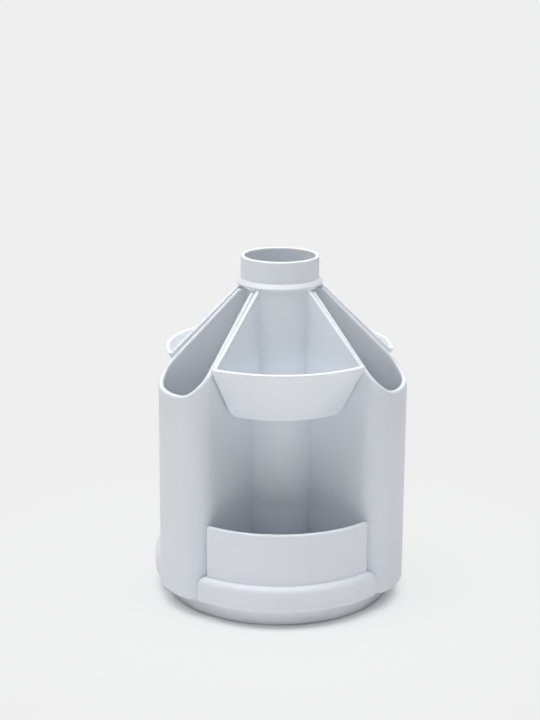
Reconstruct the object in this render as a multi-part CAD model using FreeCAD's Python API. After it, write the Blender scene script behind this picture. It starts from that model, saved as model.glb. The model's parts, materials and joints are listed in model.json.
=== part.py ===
import FreeCAD, Part
import math
import os

# Rotating desk organizer with three drawers, millimetres, Z up.
# The origin is the middle of the footprint on the table. The front niche faces -Y.
# Angles are degrees from -Y towards +X. Three niches and three pockets alternate round
# the column, so each is drawn once facing -Y and then turned about Z.

# ---- driving dimensions ----

# plan
sectors = 3                      # niches, pockets, drawers and scoop trays
body_radius = 53.5               # outermost line of the pockets
pocket_face_radius = 45.0        # curve of the pockets' outer wall
niche_half_angle = 41.6          # niche side wall, from the niche's middle line
wall = 2.1                       # pocket walls
pocket_corner_radius = 8.2       # outside corner between a niche and the outer wall
rim_round = 0.95                 # rounding along both edges of a pocket rim
foot_round = 0.6                 # rounding along the pockets' lower edge

# heights of the body
turn_gap = 0.6                   # between the base plate and the body above it
rim_low_height = 91.1            # pocket rim on the outer wall
rim_slope = 46.0                 # fall of the pocket rim towards the outer wall
column_height = 128.4            # top of the column
seat_height = 81.3               # shoulder of the column that carries the caddy
pocket_floor = 2.0

# column
column_radius = 17.5             # below the shoulder
column_neck_radius = 14.8        # above the shoulder
column_wall = 1.8
neck_wall = 1.5
column_fit_gap = 0.3             # round the hub that the column stands over

# base plate
base_setback = 7.2               # base plate's edge, in from the body's outermost line
base_height = 6.8
base_plate_thickness = 2.2
base_skirt = 2.2
base_edge_round = 1.2            # along the top
base_foot_round = 0.4            # along the lower edge
base_rib_count = 8
base_rib_thickness = 1.6
base_rib_recess = 0.8            # ribs end this far above the skirt's lower edge

# non-slip pads
pad_count = 4
pad_radius = 5.0
pad_thickness = 2.0
pad_stand_out = 0.25             # pad below the base plate's skirt
pad_inset = 10.4                 # middle of a pad, in from the base plate's edge
pad_side_gap = 0.1
pad_boss_wall = 1.6
pad_boss_recess = 0.5            # boss ends this far above the skirt's lower edge

# glide ring
glide_ring_inset = 4.4           # middle of the ring, in from the base plate's edge
glide_ring_width = 3.6
glide_ring_thickness = 1.8
glide_side_gap = 0.15
glide_top_gap = 0.2              # under the turntable floor

# swivel: spindle, washer, screw and cover
spindle_radius = 7.0
spindle_foot_radius = 9.8        # flange under the base plate that the spindle is held by
spindle_foot_thickness = 2.0
spindle_side_gap = 0.05          # spindle in the base plate
spindle_foot_round = 0.5
swivel_clearance = 0.08          # radial, spindle in hub
hub_bearing_length = 14.9
washer_end_gap = 0.2             # spindle stands this far above the bearing
washer_radius = 10.6
washer_thickness = 1.2
screw_shank_radius = 2.0
screw_shank_length = 12.0
screw_head_radius = 3.8
screw_head_height = 2.3
screw_head_round = 1.0
screw_recess_reach = 2.3         # from the middle to the end of each arm
screw_recess_width = 0.9
screw_recess_depth = 1.3
screw_bore_gap = 0.05
screw_bore_spare = 1.5
washer_hole_gap = 0.2
cover_thickness = 1.6
cover_head_gap = 0.6             # over the screw head
cover_side_gap = 0.15
cover_ledge_width = 0.8
cover_pull_hole_radius = 1.6

# turntable floor and its hub
floor_thickness = 2.4
hub_shell = 2.0
hub_rib_count = 6
hub_rib_thickness = 1.4
floor_edge_gap = 0.8             # to the inside of the drawer fronts

# screws between the floor and the pockets
floor_screw_radius = 1.5
floor_screw_head_radius = 2.9
floor_screw_length = 8.4
floor_screw_circle_radius = 33.0
floor_screw_bore_gap = 0.05
floor_screw_hole_gap = 0.2
floor_screw_sink = 0.1           # head below the floor's lower face
boss_radius = 3.6
boss_cap = 1.2                   # above the screw's point

# drawer
front_setback = 4.6              # drawer front inside the body's radius
front_thickness = 2.0
front_height = 31.2
front_lift = 0.5                 # front's lower edge above the body's lower edge
front_edge_round = 0.8           # along the top
front_side_round = 0.3           # outer upright edges
front_side_gap = 0.15            # drawer front to the line of the niche walls
bin_side_gap = 0.9               # drawer bin to the niche walls
column_gap = 0.9                 # drawer bin to the column
bin_wall = 1.3
bin_floor = 1.3
bin_height = 12.0
floor_gap = 0.4                  # drawer floor above the turntable floor
drawer_travel = 20.0

# pull lip
lip_thickness = 2.8
lip_height = 10.3
lip_half_width = 36.0
lip_corner_radius = 3.6
lip_top_round = 2.7
lip_foot_round = 0.7
lip_gap = 0.35                   # to the pockets' round corners

# drawer rail, a T-section on the turntable floor
rail_stem_width = 4.0
rail_head_width = 8.0
rail_head_thickness = 1.4
rail_clearance = 0.35
rail_end_gap = 1.0               # to the column and to the drawer front
stop_groove_depth = 0.8
stop_nib_width = 2.6
stop_nib_length = 2.0

# caddy: collar, flange and scoop trays
tray_side_gap = 0.6              # tray to the line of the niche walls
tray_wall = 1.6
tray_top_radius = 46.8
tray_top_height = 103.7
tray_bottom_radius = 33.6
tray_bottom_round = 3.4          # along the lower side edges
tray_inner_round = 1.8
tray_edge_round = 0.4
caddy_seat_gap = 0.2             # above the column's shoulder
caddy_neck_gap = 0.3             # round the column's neck
flange_reach = 1.5               # out from the collar's outer face
flange_thickness = 2.4           # at the collar, where it is thickest
flange_edge = 0.8                # upright part of its edge; the top slopes up from there
flange_round = 0.4
slot_height = 1.6                # between the column's top and the flange
collar_inner_radius = 14.3
collar_wall = 1.6
collar_height = 11.4             # flange's lower face to the collar's top
collar_round = 0.7

# ---- sizes that follow ----

sector_angle = 360.0 / sectors
pocket_half_angle = sector_angle / 2.0 - niche_half_angle

base_radius = body_radius - base_setback
base_bottom = pad_stand_out
base_top = base_bottom + base_height
body_bottom = base_top + turn_gap
floor_top = body_bottom + floor_thickness
pad_circle_radius = base_radius - pad_inset
glide_ring_radius = base_radius - glide_ring_inset
glide_ring_top = body_bottom - glide_top_gap
glide_ring_bottom = glide_ring_top - glide_ring_thickness

hub_radius = column_radius - column_wall - column_fit_gap
bearing_top = body_bottom + hub_bearing_length
spindle_top = bearing_top + washer_end_gap
washer_top = spindle_top + washer_thickness
screw_head_top = washer_top + screw_head_height
cover_bottom = screw_head_top + cover_head_gap
hub_top = cover_bottom + cover_thickness
washer_well_radius = washer_radius + cover_ledge_width / 2.0
cover_well_radius = washer_well_radius + cover_ledge_width

front_radius = body_radius - front_setback
front_inner_radius = front_radius - front_thickness
front_bottom = body_bottom + front_lift
front_top = front_bottom + front_height
floor_radius = front_inner_radius - floor_edge_gap
bin_bottom = floor_top + floor_gap
bin_inner_radius = column_radius + column_gap
bin_top = bin_bottom + bin_height
rail_back = bin_inner_radius - column_gap + rail_end_gap
rail_front = front_inner_radius - rail_end_gap
rail_head_bottom = bin_bottom + bin_floor + rail_clearance
rail_head_top = rail_head_bottom + rail_head_thickness
channel_roof = rail_head_top + rail_clearance
stop_nib_back = bin_inner_radius + bin_wall / 2.0
stop_nib_front = stop_nib_back + stop_nib_length

boss_top = body_bottom + floor_screw_sink + floor_screw_length + boss_cap

caddy_bottom = seat_height + caddy_seat_gap
flange_bottom = column_height + slot_height
flange_top = flange_bottom + flange_thickness
collar_top = flange_bottom + collar_height
collar_radius = collar_inner_radius + collar_wall
flange_radius = collar_radius + flange_reach
tray_back_radius = column_neck_radius + caddy_neck_gap

far = body_radius * 2.0          # longer than anything that it cuts


# ---- helpers ----

def at(radius, degrees, z=0.0):
    """Point on a circle round Z, with 0 degrees along -Y and +90 along +X."""
    angle = math.radians(degrees)
    return FreeCAD.Vector(radius * math.sin(angle), -radius * math.cos(angle), z)


def turned(shape, degrees):
    result = shape.copy()
    result.rotate(FreeCAD.Vector(0, 0, 0), FreeCAD.Vector(0, 0, 1), degrees)
    return result


def cylinder(radius, bottom, top, centre=FreeCAD.Vector(0, 0, 0)):
    base = FreeCAD.Vector(centre.x, centre.y, bottom)
    return Part.makeCylinder(radius, top - bottom, base)


def ring(inner, outer, bottom, top):
    return cylinder(outer, bottom, top).cut(cylinder(inner, bottom, top))


def box(half_width, back, reach, bottom, top):
    """Box centred on the -Y line, from distance back to distance reach."""
    corner = FreeCAD.Vector(-half_width, -reach, bottom)
    return Part.makeBox(2.0 * half_width, reach - back, top - bottom, corner)


def revolved(points, degrees=360.0):
    """Solid of revolution from (radius, height) points, centred on the -Y line."""
    corners = [FreeCAD.Vector(radius, 0, height) for radius, height in points]
    face = Part.Face(Part.makePolygon(corners + corners[:1]))
    solid = face.revolve(FreeCAD.Vector(0, 0, 0), FreeCAD.Vector(0, 0, 1), degrees)
    return turned(solid, -90.0 - degrees / 2.0)


def wedge(half_angle, inset, bottom, top):
    """Prism between two upright planes, each moved inwards by inset."""
    tip = inset / math.sin(math.radians(half_angle))
    apex = FreeCAD.Vector(0, -tip, bottom)
    right = apex + at(far, half_angle)
    left = apex + at(far, -half_angle)
    face = Part.Face(Part.makePolygon([apex, right, left, apex]))
    return face.extrude(FreeCAD.Vector(0, 0, top - bottom))


def edges_where(shape, test):
    """Edges whose every sampled point passes the test."""
    chosen = []
    for edge in shape.Edges:
        if all(test(point) for point in edge.discretize(5)):
            chosen.append(edge)
    return chosen


def near(value, target, tolerance=0.01):
    return abs(value - target) < tolerance


def distance_from_axis(point):
    return math.hypot(point.x, point.y)


def from_niche_wall(point):
    """Distance of a point in the front niche from the nearer side wall's line."""
    angle = math.radians(niche_half_angle)
    return -point.y * math.sin(angle) - abs(point.x) * math.cos(angle)


def one_solid(shape):
    clean = shape.removeSplitter()
    return clean.Solids[0] if len(clean.Solids) == 1 else clean


def save(node, shape):
    shape.exportStep("parts/" + node + ".step")


# ---- base ----

def make_base_plate():
    plate_bottom = base_top - base_plate_thickness
    skirt_inner = base_radius - base_skirt
    solid = cylinder(base_radius, base_bottom, base_top)
    solid = solid.makeFillet(base_edge_round, edges_where(solid, lambda p: near(p.z, base_top)))
    solid = solid.makeFillet(base_foot_round, edges_where(solid, lambda p: near(p.z, base_bottom)))
    solid = solid.cut(cylinder(skirt_inner, base_bottom, plate_bottom))

    rib_length_box = box(base_rib_thickness / 2.0, 0.0, skirt_inner + base_skirt / 2.0,
                         base_bottom + base_rib_recess, plate_bottom)
    ribs = [turned(rib_length_box, 360.0 * i / base_rib_count) for i in range(base_rib_count)]
    groove_support = ring(glide_ring_radius - glide_ring_width / 2.0 - base_skirt,
                          skirt_inner, glide_ring_bottom - base_plate_thickness, plate_bottom)
    bosses = []
    recesses = []
    for i in range(pad_count):
        centre = at(pad_circle_radius, 360.0 * i / pad_count)
        boss_bottom = base_bottom + pad_boss_recess
        bosses.append(cylinder(pad_radius + pad_boss_wall, boss_bottom, plate_bottom, centre))
        recesses.append(cylinder(pad_radius + pad_side_gap, base_bottom, pad_thickness, centre))
    socket_radius = spindle_foot_radius + spindle_side_gap
    socket = cylinder(socket_radius + base_rib_thickness, base_bottom + base_rib_recess, plate_bottom)
    solid = solid.multiFuse(ribs + bosses + [groove_support, socket])
    recesses.append(cylinder(socket_radius, base_bottom, plate_bottom))
    recesses.append(cylinder(spindle_radius + spindle_side_gap, plate_bottom, base_top))

    groove = ring(glide_ring_radius - glide_ring_width / 2.0 - glide_side_gap,
                  glide_ring_radius + glide_ring_width / 2.0 + glide_side_gap,
                  glide_ring_bottom, base_top)
    for cutter in recesses + [groove]:
        solid = solid.cut(cutter)
    return one_solid(solid)


def make_spindle():
    foot_top = base_top - base_plate_thickness
    foot = cylinder(spindle_foot_radius, foot_top - spindle_foot_thickness, foot_top)
    foot_rim = edges_where(foot, lambda p: near(p.z, foot_top - spindle_foot_thickness))
    foot = foot.makeFillet(spindle_foot_round, foot_rim)
    pin = cylinder(spindle_radius, foot_top, spindle_top)
    pin = pin.makeFillet(spindle_foot_round, edges_where(pin, lambda p: near(p.z, spindle_top)))
    bore = cylinder(screw_shank_radius + screw_bore_gap,
                    washer_top - screw_shank_length - screw_bore_spare, spindle_top)
    return one_solid(foot.fuse(pin).cut(bore))


def make_pad(index):
    centre = at(pad_circle_radius, 360.0 * index / pad_count)
    return cylinder(pad_radius, 0.0, pad_thickness, centre)


def make_glide_ring():
    return ring(glide_ring_radius - glide_ring_width / 2.0,
                glide_ring_radius + glide_ring_width / 2.0, glide_ring_bottom, glide_ring_top)


def make_retaining_washer():
    return ring(screw_shank_radius + washer_hole_gap, washer_radius, spindle_top, washer_top)


def make_retaining_screw():
    head = cylinder(screw_head_radius, washer_top, screw_head_top)
    crown = edges_where(head, lambda p: near(p.z, screw_head_top))
    head = head.makeFillet(screw_head_round, crown)
    shank = cylinder(screw_shank_radius, washer_top - screw_shank_length, washer_top)
    screw = head.fuse(shank)
    for angle in (0.0, 90.0):
        slot = box(screw_recess_width / 2.0, -screw_recess_reach, screw_recess_reach,
                   screw_head_top - screw_recess_depth, screw_head_top)
        screw = screw.cut(turned(slot, angle))
    return one_solid(screw)


# ---- turning body ----

def make_rail():
    stem = box(rail_stem_width / 2.0, rail_back, rail_front, floor_top, rail_head_bottom)
    head = box(rail_head_width / 2.0, rail_back, rail_front, rail_head_bottom, rail_head_top)
    groove = box(stop_nib_width / 2.0 + rail_clearance, rail_back, stop_nib_front + drawer_travel,
                 rail_head_top - stop_groove_depth, rail_head_top)
    return stem.fuse(head).cut(groove)


def make_floor_screw_hole():
    centre = at(floor_screw_circle_radius, sector_angle / 2.0)
    hole = cylinder(floor_screw_radius + floor_screw_hole_gap, body_bottom, floor_top, centre)
    sink_radius = floor_screw_head_radius + floor_screw_sink
    depth = sink_radius - floor_screw_radius
    base = FreeCAD.Vector(centre.x, centre.y, body_bottom)
    return hole.fuse(Part.makeCone(sink_radius + floor_screw_sink, floor_screw_radius,
                                   depth + floor_screw_sink, base))


def make_turntable_floor():
    bore = spindle_radius + swivel_clearance
    solid = revolved([(bore, body_bottom), (floor_radius, body_bottom), (floor_radius, floor_top),
                      (hub_radius, floor_top), (hub_radius, hub_top), (cover_well_radius, hub_top),
                      (cover_well_radius, cover_bottom), (washer_well_radius, cover_bottom),
                      (washer_well_radius, bearing_top), (bore, bearing_top)])
    hollow = ring(bore + hub_shell, hub_radius - hub_shell, body_bottom, bearing_top - hub_shell)
    hub_rib = box(hub_rib_thickness / 2.0, bore + hub_shell / 2.0, hub_radius - hub_shell / 2.0,
                  body_bottom, bearing_top - hub_shell / 2.0)
    for i in range(hub_rib_count):
        hollow = hollow.cut(turned(hub_rib, 360.0 * i / hub_rib_count))
    solid = solid.cut(hollow)
    for i in range(sectors):
        solid = solid.fuse(turned(make_rail(), sector_angle * i))
        solid = solid.cut(turned(make_floor_screw_hole(), sector_angle * i))
    return one_solid(solid)


def make_floor_screws():
    centre = at(floor_screw_circle_radius, sector_angle / 2.0)
    bottom = body_bottom + floor_screw_sink
    base = FreeCAD.Vector(centre.x, centre.y, bottom)
    head_depth = floor_screw_head_radius - floor_screw_radius
    head = Part.makeCone(floor_screw_head_radius, floor_screw_radius, head_depth, base)
    shank = cylinder(floor_screw_radius, bottom + head_depth / 2.0, bottom + floor_screw_length, centre)
    screw = head.fuse(shank).removeSplitter().Solids[0]
    return Part.makeCompound([turned(screw, sector_angle * i) for i in range(sectors)])


def column_profile(inner):
    """Half section of the column; without inner it is solid and cuts the pockets."""
    outside = [(column_radius, floor_top), (column_radius, seat_height),
               (column_neck_radius, seat_height), (column_neck_radius, column_height)]
    if not inner:
        return [(0, floor_top)] + outside + [(0, column_height)]
    bore = column_radius - column_wall
    neck_bore = column_neck_radius - neck_wall
    taper_top = seat_height - column_wall
    return [(bore, floor_top)] + outside + [(neck_bore, column_height), (neck_bore, taper_top),
                                            (bore, taper_top - (bore - neck_bore))]


def make_column_tube():
    return one_solid(revolved(column_profile(True)))


def pocket_corner(side):
    """Centre of an outside corner of the pocket that faces -Y."""
    half = math.radians(pocket_half_angle)
    face_centre = body_radius - pocket_face_radius
    across = pocket_corner_radius - face_centre * math.sin(half)
    reach = math.sqrt((pocket_face_radius - pocket_corner_radius) ** 2 - across ** 2)
    wall_end = at(face_centre * math.cos(half) + reach, side * pocket_half_angle)
    return wall_end + at(pocket_corner_radius, side * (pocket_half_angle - 90.0))


def pocket_outline(inset, start):
    """Face of a pocket's plan, facing -Y, moved inwards by inset, from start to the outer wall.

    A start below zero lies behind the axis, for cuts that run on into the column.
    """
    corner = pocket_corner_radius - inset
    face_centre = at(body_radius - pocket_face_radius, 0.0)
    edges = []
    ends = {}
    for side in (1.0, -1.0):
        centre = pocket_corner(side)
        inward = at(1.0, side * (pocket_half_angle - 90.0))
        outward = (centre - face_centre).normalize()
        wall_start = at(start, side * pocket_half_angle) + inward * inset
        wall_end = centre - inward * corner
        bend = centre + (outward - inward).normalize() * corner
        outer_end = centre + outward * corner
        edges.append(Part.LineSegment(wall_start, wall_end).toShape())
        edges.append(Part.Arc(wall_end, bend, outer_end).toShape())
        ends[side] = (wall_start, outer_end)
    middle = at(body_radius - inset, 0.0)
    edges.append(Part.Arc(ends[1.0][1], middle, ends[-1.0][1]).toShape())
    edges.append(Part.LineSegment(ends[-1.0][0], ends[1.0][0]).toShape())
    return Part.Face(Part.Wire(Part.__sortEdges__(edges)))


def pocket_prism(inset, start, bottom, top):
    face = pocket_outline(inset, start)
    face.translate(FreeCAD.Vector(0, 0, bottom))
    return face.extrude(FreeCAD.Vector(0, 0, top - bottom))


def rim_height(distance):
    """Height of the rim plane at a distance along the pocket's middle line."""
    return rim_low_height + math.tan(math.radians(rim_slope)) * (body_radius - distance)


def make_rim_cutter():
    corners = [FreeCAD.Vector(-far, 0, rim_height(0.0)),
               FreeCAD.Vector(-far, -far, rim_height(far)),
               FreeCAD.Vector(-far, -far, rim_height(0.0))]
    face = Part.Face(Part.makePolygon(corners + corners[:1]))
    return face.extrude(FreeCAD.Vector(2.0 * far, 0, 0))


def make_pocket():
    start = column_neck_radius / 2.0
    shell = pocket_prism(0.0, start, floor_top, column_height)
    shell = shell.cut(pocket_prism(wall, -start, floor_top + pocket_floor, column_height))
    shell = shell.cut(make_rim_cutter())

    def on_rim(point):
        on_slope = near(point.z, rim_height(-point.y))
        return on_slope and -point.y > column_radius / 2.0

    shell = shell.makeFillet(rim_round, edges_where(shell, on_rim))
    skirt = pocket_prism(0.0, start, body_bottom, floor_top)
    foot = edges_where(skirt, lambda p: near(p.z, body_bottom) and -p.y > column_radius)
    skirt = skirt.makeFillet(foot_round, foot)
    skirt = skirt.cut(pocket_prism(wall, -start, body_bottom, floor_top))
    skirt = skirt.cut(cylinder(floor_radius + floor_edge_gap / 2.0, body_bottom, floor_top))

    screw_centre = at(floor_screw_circle_radius, 0.0)
    boss = cylinder(boss_radius, floor_top, boss_top, screw_centre)
    bore = cylinder(floor_screw_radius + floor_screw_bore_gap, floor_top,
                    boss_top - boss_cap, screw_centre)
    pocket = shell.fuse(skirt).fuse(boss).cut(bore).cut(revolved(column_profile(False)))
    return one_solid(pocket)


def make_screw_cover():
    disc = cylinder(cover_well_radius - cover_side_gap, cover_bottom, hub_top)
    return disc.cut(cylinder(cover_pull_hole_radius, cover_bottom, hub_top))


# ---- drawer ----

def make_lip():
    """Pull lip across the foot of the drawer front, with rounded upper corners."""
    top = body_bottom + lip_height
    outer = front_radius + lip_thickness
    bar = ring(front_radius - front_thickness / 2.0, outer, body_bottom, top)
    bar = bar.common(box(lip_half_width, 0.0, far, body_bottom, top))

    foot = edges_where(bar, lambda p: near(p.z, body_bottom) and near(distance_from_axis(p), outer))
    bar = bar.makeFillet(lip_foot_round, foot)
    crown = edges_where(bar, lambda p: near(p.z, top) and near(distance_from_axis(p), outer))
    bar = bar.makeFillet(lip_top_round, crown)

    profile = Part.makeBox(2.0 * lip_half_width, far, lip_height,
                           FreeCAD.Vector(-lip_half_width, -far, body_bottom))
    corners = edges_where(profile, lambda p: near(p.z, top) and near(abs(p.x), lip_half_width))
    bar = bar.common(profile.makeFillet(lip_corner_radius, corners))
    for side in (1.0, -1.0):
        pocket = pocket_prism(-lip_gap, 0.0, body_bottom, top)
        bar = bar.cut(turned(pocket, side * sector_angle / 2.0))
    return bar


def make_drawer():
    front = ring(front_inner_radius, front_radius, front_bottom, front_top)
    front = front.common(wedge(niche_half_angle, front_side_gap, front_bottom, front_top))

    def on_front_side(point):
        on_side = near(from_niche_wall(point), front_side_gap)
        return on_side and near(distance_from_axis(point), front_radius)

    front = front.makeFillet(front_side_round, edges_where(front, on_front_side))
    crest = edges_where(front, lambda p: near(p.z, front_top))
    front = front.makeFillet(front_edge_round, crest)

    bin_outer = ring(bin_inner_radius, front_inner_radius, bin_bottom, bin_top)
    bin_outer = bin_outer.common(wedge(niche_half_angle, bin_side_gap, bin_bottom, bin_top))
    bin_inner = ring(bin_inner_radius + bin_wall, front_inner_radius, bin_bottom + bin_floor, bin_top)
    bin_inner = bin_inner.common(wedge(niche_half_angle, bin_side_gap + bin_wall,
                                       bin_bottom + bin_floor, bin_top))
    tray = bin_outer.cut(bin_inner)

    channel_half = rail_head_width / 2.0 + rail_clearance
    hump = box(channel_half + bin_wall, bin_inner_radius, front_radius - front_thickness / 2.0,
               bin_bottom, channel_roof + bin_wall)
    hump = hump.cut(cylinder(bin_inner_radius, bin_bottom, channel_roof + bin_wall))
    channel = box(channel_half, 0.0, front_inner_radius, bin_bottom + bin_floor, channel_roof)
    slot = box(rail_stem_width / 2.0 + rail_clearance, 0.0, front_inner_radius,
               bin_bottom, bin_bottom + bin_floor)
    nib = box(stop_nib_width / 2.0, stop_nib_back, stop_nib_front,
              rail_head_top - stop_groove_depth + rail_clearance / 2.0, channel_roof)
    drawer = tray.fuse(hump).cut(channel).cut(slot)
    drawer = drawer.multiFuse([nib, front, make_lip()])
    return one_solid(drawer)


# ---- caddy ----

def make_caddy_collar():
    brim_height = flange_bottom + flange_edge
    solid = revolved([(collar_inner_radius, flange_bottom), (flange_radius, flange_bottom),
                      (flange_radius, brim_height), (collar_radius, flange_top),
                      (collar_radius, collar_top), (collar_inner_radius, collar_top)])
    crest = edges_where(solid, lambda p: near(p.z, collar_top))
    solid = solid.makeFillet(collar_round, crest)
    brim = edges_where(solid, lambda p: near(p.z, brim_height))
    return one_solid(solid.makeFillet(flange_round, brim))


tray_lean = (tray_top_radius - tray_bottom_radius) / (tray_top_height - caddy_bottom)
tray_front_depth = tray_wall * math.hypot(1.0, tray_lean)


def tray_rim_height(radius):
    """Height of the side walls' rim, which falls from the flange to the front wall."""
    outer = tray_top_radius - tray_front_depth
    back = tray_back_radius + tray_wall
    share = (outer - radius) / (outer - back)
    return tray_top_height + share * (flange_bottom - tray_top_height)


def tray_profile(inset):
    """Section of a scoop tray, or of the space in it when inset by the wall."""
    bottom = caddy_bottom + inset
    back = tray_back_radius + inset
    foot = tray_bottom_radius - inset / tray_wall * tray_front_depth + tray_lean * inset
    if inset:
        top = flange_bottom + tray_wall
        brow = tray_top_radius - tray_front_depth + tray_lean * (top - tray_top_height)
        return [(back, bottom), (foot, bottom), (brow, top), (back, top)]
    return [(back, bottom), (foot, bottom), (tray_top_radius, tray_top_height),
            (tray_top_radius - tray_front_depth, tray_top_height),
            (back + tray_wall, flange_bottom), (back, flange_bottom)]


def make_scoop_tray():
    top = flange_bottom + tray_wall
    outer = revolved(tray_profile(0.0), 180.0)
    outer = outer.common(wedge(niche_half_angle, tray_side_gap, caddy_bottom, top))

    def on_side(point):
        return near(from_niche_wall(point), tray_side_gap)

    def on_front(point):
        front = tray_top_radius + tray_lean * (point.z - tray_top_height)
        return near(distance_from_axis(point), front)

    def on_side_rim(point):
        on_slope = near(point.z, tray_rim_height(distance_from_axis(point)))
        return on_side(point) and (on_slope or near(point.z, tray_top_height))

    lower_sides = edges_where(outer, lambda p: on_side(p) and near(p.z, caddy_bottom))
    outer = outer.makeFillet(tray_bottom_round, lower_sides)
    outer = outer.makeFillet(tray_edge_round,
                             edges_where(outer, on_front) + edges_where(outer, on_side_rim))

    inner = revolved(tray_profile(tray_wall), 180.0)
    inner = inner.common(wedge(niche_half_angle, tray_side_gap + tray_wall, caddy_bottom, top))

    def on_floor_side(point):
        on_wall = near(from_niche_wall(point), tray_side_gap + tray_wall)
        return on_wall and near(point.z, caddy_bottom + tray_wall)

    inner = inner.makeFillet(tray_inner_round, edges_where(inner, on_floor_side))
    return one_solid(outer.cut(inner))


# ---- write the parts ----

os.makedirs("parts", exist_ok=True)
save("base_plate", make_base_plate())
save("spindle", make_spindle())
for number in range(pad_count):
    save("non_slip_pad_%d" % (number + 1), make_pad(number))
save("glide_ring", make_glide_ring())
save("retaining_washer", make_retaining_washer())
save("retaining_screw", make_retaining_screw())
save("turntable_floor", make_turntable_floor())
save("floor_screws", make_floor_screws())
save("column_tube", make_column_tube())
save("screw_cover", make_screw_cover())
save("caddy_collar", make_caddy_collar())

pocket_names = ["pocket_right", "pocket_rear", "pocket_left"]
niche_names = ["front", "rear_right", "rear_left"]
for index in range(sectors):
    niche_turn = sector_angle * index
    save(pocket_names[index], turned(make_pocket(), niche_turn + sector_angle / 2.0))
    save("drawer_" + niche_names[index], turned(make_drawer(), niche_turn))
    save("scoop_tray_" + niche_names[index], turned(make_scoop_tray(), niche_turn))
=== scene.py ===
import bpy
import json
import math
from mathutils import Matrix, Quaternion, Vector

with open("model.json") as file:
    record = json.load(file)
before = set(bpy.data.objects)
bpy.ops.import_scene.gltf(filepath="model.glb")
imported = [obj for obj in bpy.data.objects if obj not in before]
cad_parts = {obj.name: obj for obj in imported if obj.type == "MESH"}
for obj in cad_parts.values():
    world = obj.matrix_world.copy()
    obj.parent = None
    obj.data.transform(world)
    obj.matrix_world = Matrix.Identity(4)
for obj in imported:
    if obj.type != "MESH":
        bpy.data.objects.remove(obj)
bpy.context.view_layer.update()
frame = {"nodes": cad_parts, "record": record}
nodes = frame["nodes"]
mm = 0.001
print("frame loaded:", len(nodes), "nodes")


# small helpers

def hexToLinear(code):
    channels = [int(code[i:i + 2], 16) / 255 for i in (1, 3, 5)]
    linear = [c / 12.92 if c <= 0.04045 else ((c + 0.055) / 1.055) ** 2.4 for c in channels]
    return (*linear, 1.0)


def addNode(tree, kind, settings=None, links=None):
    # settings: a socket by name or number, or a property of the node
    # links: a socket to the output that feeds it
    node = tree.nodes.new(kind)
    for name, value in (settings or {}).items():
        if isinstance(name, int) or name in node.inputs:
            node.inputs[name].default_value = value
        else:
            setattr(node, name, value)
    for name, source in (links or {}).items():
        tree.links.new(source, node.inputs[name])
    return node


def startMaterial(name):
    # returns the material, its tree and the place on the piece that its patterns follow
    material = bpy.data.materials.new(name)
    material.use_nodes = True
    tree = material.node_tree
    tree.nodes.clear()
    return material, tree, addNode(tree, "ShaderNodeTexCoord").outputs["Object"]


def addSurface(tree, settings, links):
    shader = addNode(tree, "ShaderNodeBsdfPrincipled", settings, links)
    addNode(tree, "ShaderNodeOutputMaterial", None, {"Surface": shader.outputs["BSDF"]})


def patternScale(sizeMm):
    # texture scale for features of that size
    return 1 / (sizeMm * mm)


def addNoise(tree, place, sizeMm, detail, distortion=0.0):
    return addNode(tree, "ShaderNodeTexNoise",
                   {"Scale": patternScale(sizeMm), "Detail": detail, "Distortion": distortion},
                   {"Vector": place}).outputs["Fac"]


def addRelief(tree, height, depthMm, under=None):
    # under: the coarser relief that this one lies on
    links = {"Height": height} if under is None else {"Height": height, "Normal": under}
    return addNode(tree, "ShaderNodeBump", {"Strength": 1.0, "Distance": depthMm * mm},
                   links).outputs["Normal"]


def blendColours(tree, share, first, second):
    return addNode(tree, "ShaderNodeMix",
                   {"data_type": "RGBA", 6: hexToLinear(first), 7: hexToLinear(second)},
                   {0: share}).outputs[2]


def spreadRoughness(tree, share, settings, low=0.0, high=1.0):
    # low and high: the values of share that stand for the ends of the spread
    return addNode(tree, "ShaderNodeMapRange",
                   {"From Min": low, "From Max": high,
                    "To Min": settings["roughness"] - settings["roughnessSpread"],
                    "To Max": settings["roughness"] + settings["roughnessSpread"]},
                   {"Value": share}).outputs["Result"]


def seenRays(tree):
    # 1 where the eye meets it, straight or by a reflection
    rays = addNode(tree, "ShaderNodeLightPath").outputs
    mirrored = addNode(tree, "ShaderNodeMath", {"operation": "MAXIMUM"},
                       {0: rays["Is Glossy Ray"], 1: rays["Is Transmission Ray"]}).outputs[0]
    return addNode(tree, "ShaderNodeMath", {"operation": "MAXIMUM"},
                   {0: rays["Is Camera Ray"], 1: mirrored}).outputs[0]


noiseLow, noiseHigh = 0.3, 0.7  # nearly all of a noise lies between these
whiteScatter = (1.0, 1.0, 1.0)  # white pigment sends all colours as far


# body: ABS, injection moulded in a satin tool
# broad soft highlights, hardly any grain; the little light that goes in softens seams and rims
bodyAbs = {
    "colour": "#E1E6EC",
    "flowColour": "#DDE2E9",   # slightly deeper where the melt cooled last
    "flowMm": 38.0,
    "speckColour": "#8E9094",  # dust in the pellets
    "speckMm": 0.45,           # real ones are about 0.2 mm, drawn larger so that a few show
    "speckSpacingMm": 9.0,
    "speckShare": 0.1,         # of the cells hold a speck
    "speckCore": 0.4,          # of its radius is fully dark, the rest fades
    "roughness": 0.47,
    "roughnessSpread": 0.06,
    "handledMm": 7.0,          # patches polished by hands
    "ior": 1.53,
    "subsurface": 0.25,
    "subsurfaceMm": 0.7,
    "grainMm": 0.6,            # the tool's grain is finer than 0.1 mm, drawn coarser so that it shows
    "grainDepthMm": 0.0025,
    "sagMm": 16.0,             # long waves where the walls shrank as they cooled
    "sagDepthMm": 0.012,
}

# caddy: the same ABS as the body, painted a touch whiter to stand in for the brighter light that falls
# on it
caddyAbsPaintedWhiter = {**bodyAbs, "colour": "#E7EBF0", "flowColour": "#E3E8EE", "flowMm": 30.0}
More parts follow.
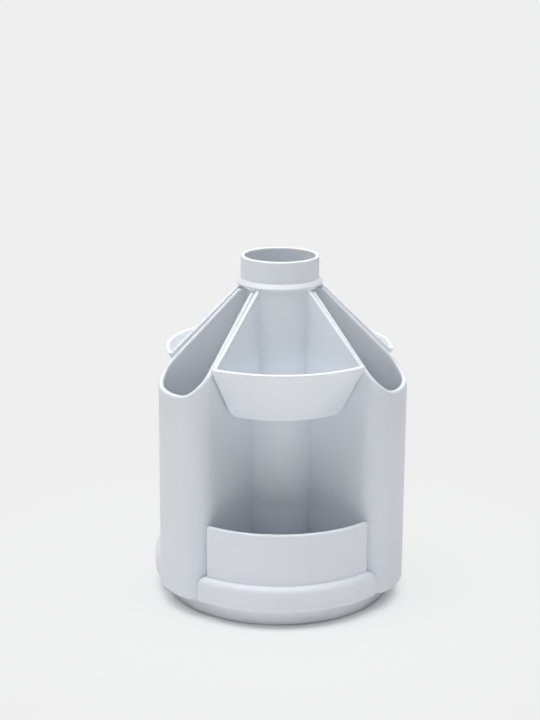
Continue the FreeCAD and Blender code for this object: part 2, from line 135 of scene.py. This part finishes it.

# drawers: the same ABS in a smaller tool, painted a touch paler than the body to stand in for the
# brighter light on their fronts and lips
drawerAbsPaintedPaler = {**bodyAbs, "colour": "#E6EAF0", "flowColour": "#E2E6ED", "flowMm": 30.0}

# base and turntable: the same ABS in a tool with a fine eroded finish, painted paler than the body to
# stand in for floor-bounced light that its shaded side misses
# duller, broader highlights, so it still looks greyer than the body where its side leans down
baseAbsPaintedPaler = {
    **bodyAbs,
    # painted paler than the body: stands in for light on the base's shaded side
    "colour": "#EBEEF3",
    "flowColour": "#E6EAF0",
    "flowMm": 26.0,
    "speckColour": "#85888E",
    "speckSpacingMm": 8.0,
    "roughness": 0.46,
    "roughnessSpread": 0.08,
    "grainMm": 0.5,
    "grainDepthMm": 0.006,
    "sagMm": 18.0,
    "sagDepthMm": 0.010,
}


def makeMouldedPlastic(name, settings):
    material, tree, place = startMaterial(name)
    flow = addNoise(tree, place, settings["flowMm"], detail=3.0, distortion=0.6)
    flowMix = addNode(tree, "ShaderNodeMapRange", {"From Min": noiseLow, "From Max": noiseHigh},
                      {"Value": flow}).outputs["Result"]
    tint = blendColours(tree, flowMix, settings["colour"], settings["flowColour"])

    # a speck is the middle of a cell, in the few cells whose random value is high
    cells = addNode(tree, "ShaderNodeTexVoronoi", {"Scale": patternScale(settings["speckSpacingMm"])},
                    {"Vector": place})
    radius = settings["speckMm"] / settings["speckSpacingMm"] / 2
    core = radius * settings["speckCore"]
    nearMiddle = addNode(tree, "ShaderNodeMapRange", {"From Min": radius, "From Max": core},
                         {"Value": cells.outputs["Distance"]})
    pick = addNode(tree, "ShaderNodeSeparateColor", None, {"Color": cells.outputs["Color"]})
    fewCells = addNode(tree, "ShaderNodeMath",
                       {"operation": "GREATER_THAN", 1: 1 - settings["speckShare"]},
                       {0: pick.outputs["Red"]})
    speck = addNode(tree, "ShaderNodeMath", {"operation": "MULTIPLY"},
                    {0: nearMiddle.outputs["Result"], 1: fewCells.outputs[0]}).outputs[0]
    colour = addNode(tree, "ShaderNodeMix",
                     {"data_type": "RGBA", 7: hexToLinear(settings["speckColour"])},
                     {0: speck, 6: tint}).outputs[2]

    handled = addNoise(tree, place, settings["handledMm"], detail=5.0)
    rough = spreadRoughness(tree, handled, settings, noiseLow, noiseHigh)
    sag = addNoise(tree, place, settings["sagMm"], detail=1.0)
    grain = addNoise(tree, place, settings["grainMm"], detail=2.0)
    longWaves = addRelief(tree, sag, settings["sagDepthMm"])
    relief = addRelief(tree, grain, settings["grainDepthMm"], under=longWaves)
    addSurface(tree,
               {"IOR": settings["ior"], "Subsurface Weight": settings["subsurface"],
                "Subsurface Radius": whiteScatter, "Subsurface Scale": settings["subsurfaceMm"] * mm},
               {"Base Color": colour, "Roughness": rough, "Normal": relief})
    return material


# pads: die-cut synthetic rubber, matt, with a fine pebbled skin
padRubber = {
    "colour": "#232325",
    "wornColour": "#2E2E31",
    "wornMm": 3.0,
    "roughness": 0.78,
    "ior": 1.52,
    "pebbleMm": 0.5,           # the skin that the rubber sheet is rolled with
    "pebbleDepthMm": 0.03,
}


def makeDieCutRubber(name, settings):
    material, tree, place = startMaterial(name)
    worn = addNoise(tree, place, settings["wornMm"], detail=4.0)
    colour = blendColours(tree, worn, settings["colour"], settings["wornColour"])
    pebbles = addNode(tree, "ShaderNodeTexVoronoi", {"Scale": patternScale(settings["pebbleMm"])},
                      {"Vector": place}).outputs["Distance"]
    relief = addRelief(tree, pebbles, settings["pebbleDepthMm"])
    addSurface(tree, {"IOR": settings["ior"], "Roughness": settings["roughness"]},
               {"Base Color": colour, "Normal": relief})
    return material


# glide ring and spindle: acetal, turned, waxy and a little see-through, with fine tool rings
acetal = {
    "colour": "#E6E3DA",
    "deepColour": "#DEDACE",
    "deepMm": 12.0,            # milky clouds in the bar it was turned from
    "roughness": 0.42,
    "ior": 1.48,
    "ringMm": 0.5,             # real rings are about 0.1 mm apart, drawn wider so that they show
    "ringDepthMm": 0.004,
    "subsurface": 0.25,
    "subsurfaceMm": 1.5,
}


def makeTurnedAcetal(name, settings):
    material, tree, place = startMaterial(name)
    milky = addNoise(tree, place, settings["deepMm"], detail=2.0)
    colour = blendColours(tree, milky, settings["colour"], settings["deepColour"])
    ringScale = patternScale(settings["ringMm"]) * math.tau / 20  # 20 radians to a unit
    rings = addNode(tree, "ShaderNodeTexWave",
                    {"wave_type": "RINGS", "rings_direction": "Z", "Scale": ringScale,
                     "Distortion": 0.3}, {"Vector": place}).outputs["Fac"]
    relief = addRelief(tree, rings, settings["ringDepthMm"])
    addSurface(tree,
               {"IOR": settings["ior"], "Roughness": settings["roughness"],
                "Subsurface Weight": settings["subsurface"], "Subsurface Radius": whiteScatter,
                "Subsurface Scale": settings["subsurfaceMm"] * mm},
               {"Base Color": colour, "Normal": relief})
    return material


# screws and washer: steel, pressed, with a bright zinc plate that clouds in patches
zincSteel = {
    "colour": "#B9BCC0",
    "cloudColour": "#A3A8AF",
    "cloudMm": 2.0,
    "roughness": 0.30,
    "roughnessSpread": 0.10,
    "scratchMm": 0.35,         # marks from tumbling in the plating drum
    "scratchDepthMm": 0.003,
}


def makeZincPlatedSteel(name, settings):
    material, tree, place = startMaterial(name)
    cloud = addNoise(tree, place, settings["cloudMm"], detail=6.0)
    colour = blendColours(tree, cloud, settings["colour"], settings["cloudColour"])
    rough = spreadRoughness(tree, cloud, settings)
    scratches = addNoise(tree, place, settings["scratchMm"], detail=2.0, distortion=2.0)
    relief = addRelief(tree, scratches, settings["scratchDepthMm"])
    addSurface(tree, {"Metallic": 1.0},
               {"Base Color": colour, "Roughness": rough, "Normal": relief})
    return material


finishes = {
    "body_plastic": makeMouldedPlastic("mouldedAbsPale", bodyAbs),
    "caddy_plastic": makeMouldedPlastic("mouldedAbsPaintedWhiter", caddyAbsPaintedWhiter),
    "drawer_plastic": makeMouldedPlastic("mouldedAbsSmallToolPaintedPaler", drawerAbsPaintedPaler),
    "base_plastic": makeMouldedPlastic("mouldedAbsErodedToolPaintedPaler", baseAbsPaintedPaler),
    "pad_rubber": makeDieCutRubber("dieCutRubber", padRubber),
    "glide_plastic": makeTurnedAcetal("turnedAcetal", acetal),
    "zinc_steel": makeZincPlatedSteel("zincPlatedSteel", zincSteel),
}
slotOf = {part["node"]: part["material_slot"] for part in frame["record"]["subparts"]}
for name in slotOf:
    if name.startswith(("caddy", "scoop_tray")):
        slotOf[name] = "caddy_plastic"
    elif name.startswith("drawer"):
        slotOf[name] = "drawer_plastic"
for name, node in nodes.items():
    node.data.materials.clear()
    node.data.materials.append(finishes[slotOf[name]])
print("finishes set:", len(finishes))


# studio floor: painted board, shaded close round the base and nearly plain beyond
floorSettings = {
    "halfSize": 12.0,
    "colour": "#FAFAFA",
    # the board as the eye sees it; its touch of blue is a painted cool tint for the shadow round the
    # base
    "seenColour": "#EFF1F5",
    "backdrop": "#EFEFEF",
    "roughness": 0.9,
    "specular": 0.1,
    "contactRadius": 0.044,    # the paint and its shadow show in full as far as here
    "clearRadius": 0.057,      # most of it has faded into the backdrop here
    "clearShare": 0.86,        # how much of it
    "plainRadius": 0.16,       # the rest is gone from here on
}


def makeFloor(settings):
    half = settings["halfSize"]
    mesh = bpy.data.meshes.new("studioFloor")
    mesh.from_pydata([(-half, -half, 0), (half, -half, 0), (half, half, 0), (-half, half, 0)],
                     [], [(0, 1, 2, 3)])
    floor = bpy.data.objects.new("studioFloor", mesh)
    bpy.context.scene.collection.objects.link(floor)
    material, tree, place = startMaterial("paintedBoard")
    distance = addNode(tree, "ShaderNodeVectorMath", {"operation": "LENGTH"},
                       {0: place}).outputs["Value"]
    nearby = addNode(tree, "ShaderNodeMapRange",
                     {"interpolation_type": "SMOOTHSTEP", "From Min": settings["contactRadius"],
                      "From Max": settings["clearRadius"], "To Max": settings["clearShare"]},
                     {"Value": distance}).outputs["Result"]
    beyond = addNode(tree, "ShaderNodeMapRange",
                     {"From Min": settings["clearRadius"], "From Max": settings["plainRadius"],
                      "To Max": 1 - settings["clearShare"]}, {"Value": distance}).outputs["Result"]
    clear = addNode(tree, "ShaderNodeMath", {"operation": "ADD"}, {0: nearby, 1: beyond}).outputs[0]
    seen = seenRays(tree)
    plain = addNode(tree, "ShaderNodeMath", {"operation": "MULTIPLY"}, {0: clear, 1: seen}).outputs[0]
    paint = blendColours(tree, seen, settings["colour"], settings["seenColour"])
    board = addNode(tree, "ShaderNodeBsdfPrincipled",
                    {"Roughness": settings["roughness"], "Specular IOR Level": settings["specular"]},
                    {"Base Color": paint})
    backdrop = addNode(tree, "ShaderNodeEmission", {"Color": hexToLinear(settings["backdrop"])})
    mixed = addNode(tree, "ShaderNodeMixShader", None,
                    {0: plain, 1: board.outputs["BSDF"], 2: backdrop.outputs["Emission"]})
    addNode(tree, "ShaderNodeOutputMaterial", None, {"Surface": mixed.outputs["Shader"]})
    mesh.materials.append(material)


makeFloor(floorSettings)


# soft light: one large softbox overhead, one on each side of it, and a weak one near the camera
lampSettings = {
    "roomStrength": 0.02,
    "aim": (0, 0, 0.070),
    "overheadSoftbox": {"place": (0.00, 0.05, 1.40), "size": (1.2, 1.2), "watts": 18.9},
    "leftSoftbox": {"place": (-0.70, -0.10, 1.25), "size": (0.6, 1.0), "watts": 6.1},
    "rightSoftbox": {"place": (0.70, -0.10, 1.25), "size": (0.6, 1.0), "watts": 3.0},
    "frontSoftbox": {"place": (-0.15, -1.50, 0.45), "size": (0.6, 0.6), "watts": 3.2},
}


def addSoftbox(name, settings, aim):
    lamp = bpy.data.lights.new(name, "AREA")
    lamp.shape = "RECTANGLE"
    lamp.size, lamp.size_y = settings["size"]
    lamp.energy = settings["watts"]
    softbox = bpy.data.objects.new(name, lamp)
    bpy.context.scene.collection.objects.link(softbox)
    softbox.location = settings["place"]
    ray = Vector(aim) - Vector(settings["place"])
    softbox.rotation_euler = ray.to_track_quat("-Z", "Y").to_euler()


def setRoom(strength, seenColour):
    room = bpy.data.worlds.new("paleRoom")
    bpy.context.scene.world = room
    room.use_nodes = True
    tree = room.node_tree
    tree.nodes.clear()
    light = addNode(tree, "ShaderNodeBackground",
                    {"Color": hexToLinear("#FFFFFF"), "Strength": strength})
    wall = addNode(tree, "ShaderNodeBackground", {"Color": hexToLinear(seenColour), "Strength": 1.0})
    mixed = addNode(tree, "ShaderNodeMixShader", None,
                    {0: seenRays(tree), 1: light.outputs["Background"], 2: wall.outputs["Background"]})
    addNode(tree, "ShaderNodeOutputWorld", None, {"Surface": mixed.outputs["Shader"]})


setRoom(lampSettings["roomStrength"], floorSettings["backdrop"])
for name in ("overheadSoftbox", "leftSoftbox", "rightSoftbox", "frontSoftbox"):
    addSoftbox(name, lampSettings[name], lampSettings["aim"])
print("floor and light set")


# camera: a long lens a little above the rim, looking down on the front niche
cameraSettings = {
    "placeMm": (-66.6, -636.5, 274.8),
    "aimMm": (-3.78, 0.40, 97.1),
    "rollDegrees": 0.33,
    "focalPixels": 1617.69,
    "imageHeight": 720,
}


def addCamera(settings):
    data = bpy.data.cameras.new("studioCamera")
    data.lens = data.sensor_width * settings["focalPixels"] / settings["imageHeight"]
    camera = bpy.data.objects.new("studioCamera", data)
    bpy.context.scene.collection.objects.link(camera)
    place, aim = Vector(settings["placeMm"]) * mm, Vector(settings["aimMm"]) * mm
    camera.location = place
    camera.rotation_mode = "QUATERNION"
    roll = Quaternion((0, 0, 1), math.radians(settings["rollDegrees"]))
    camera.rotation_quaternion = (aim - place).to_track_quat("-Z", "Y") @ roll
    bpy.context.scene.camera = camera


addCamera(cameraSettings)
bpy.context.scene.view_settings.view_transform = "Standard"
print("camera set")
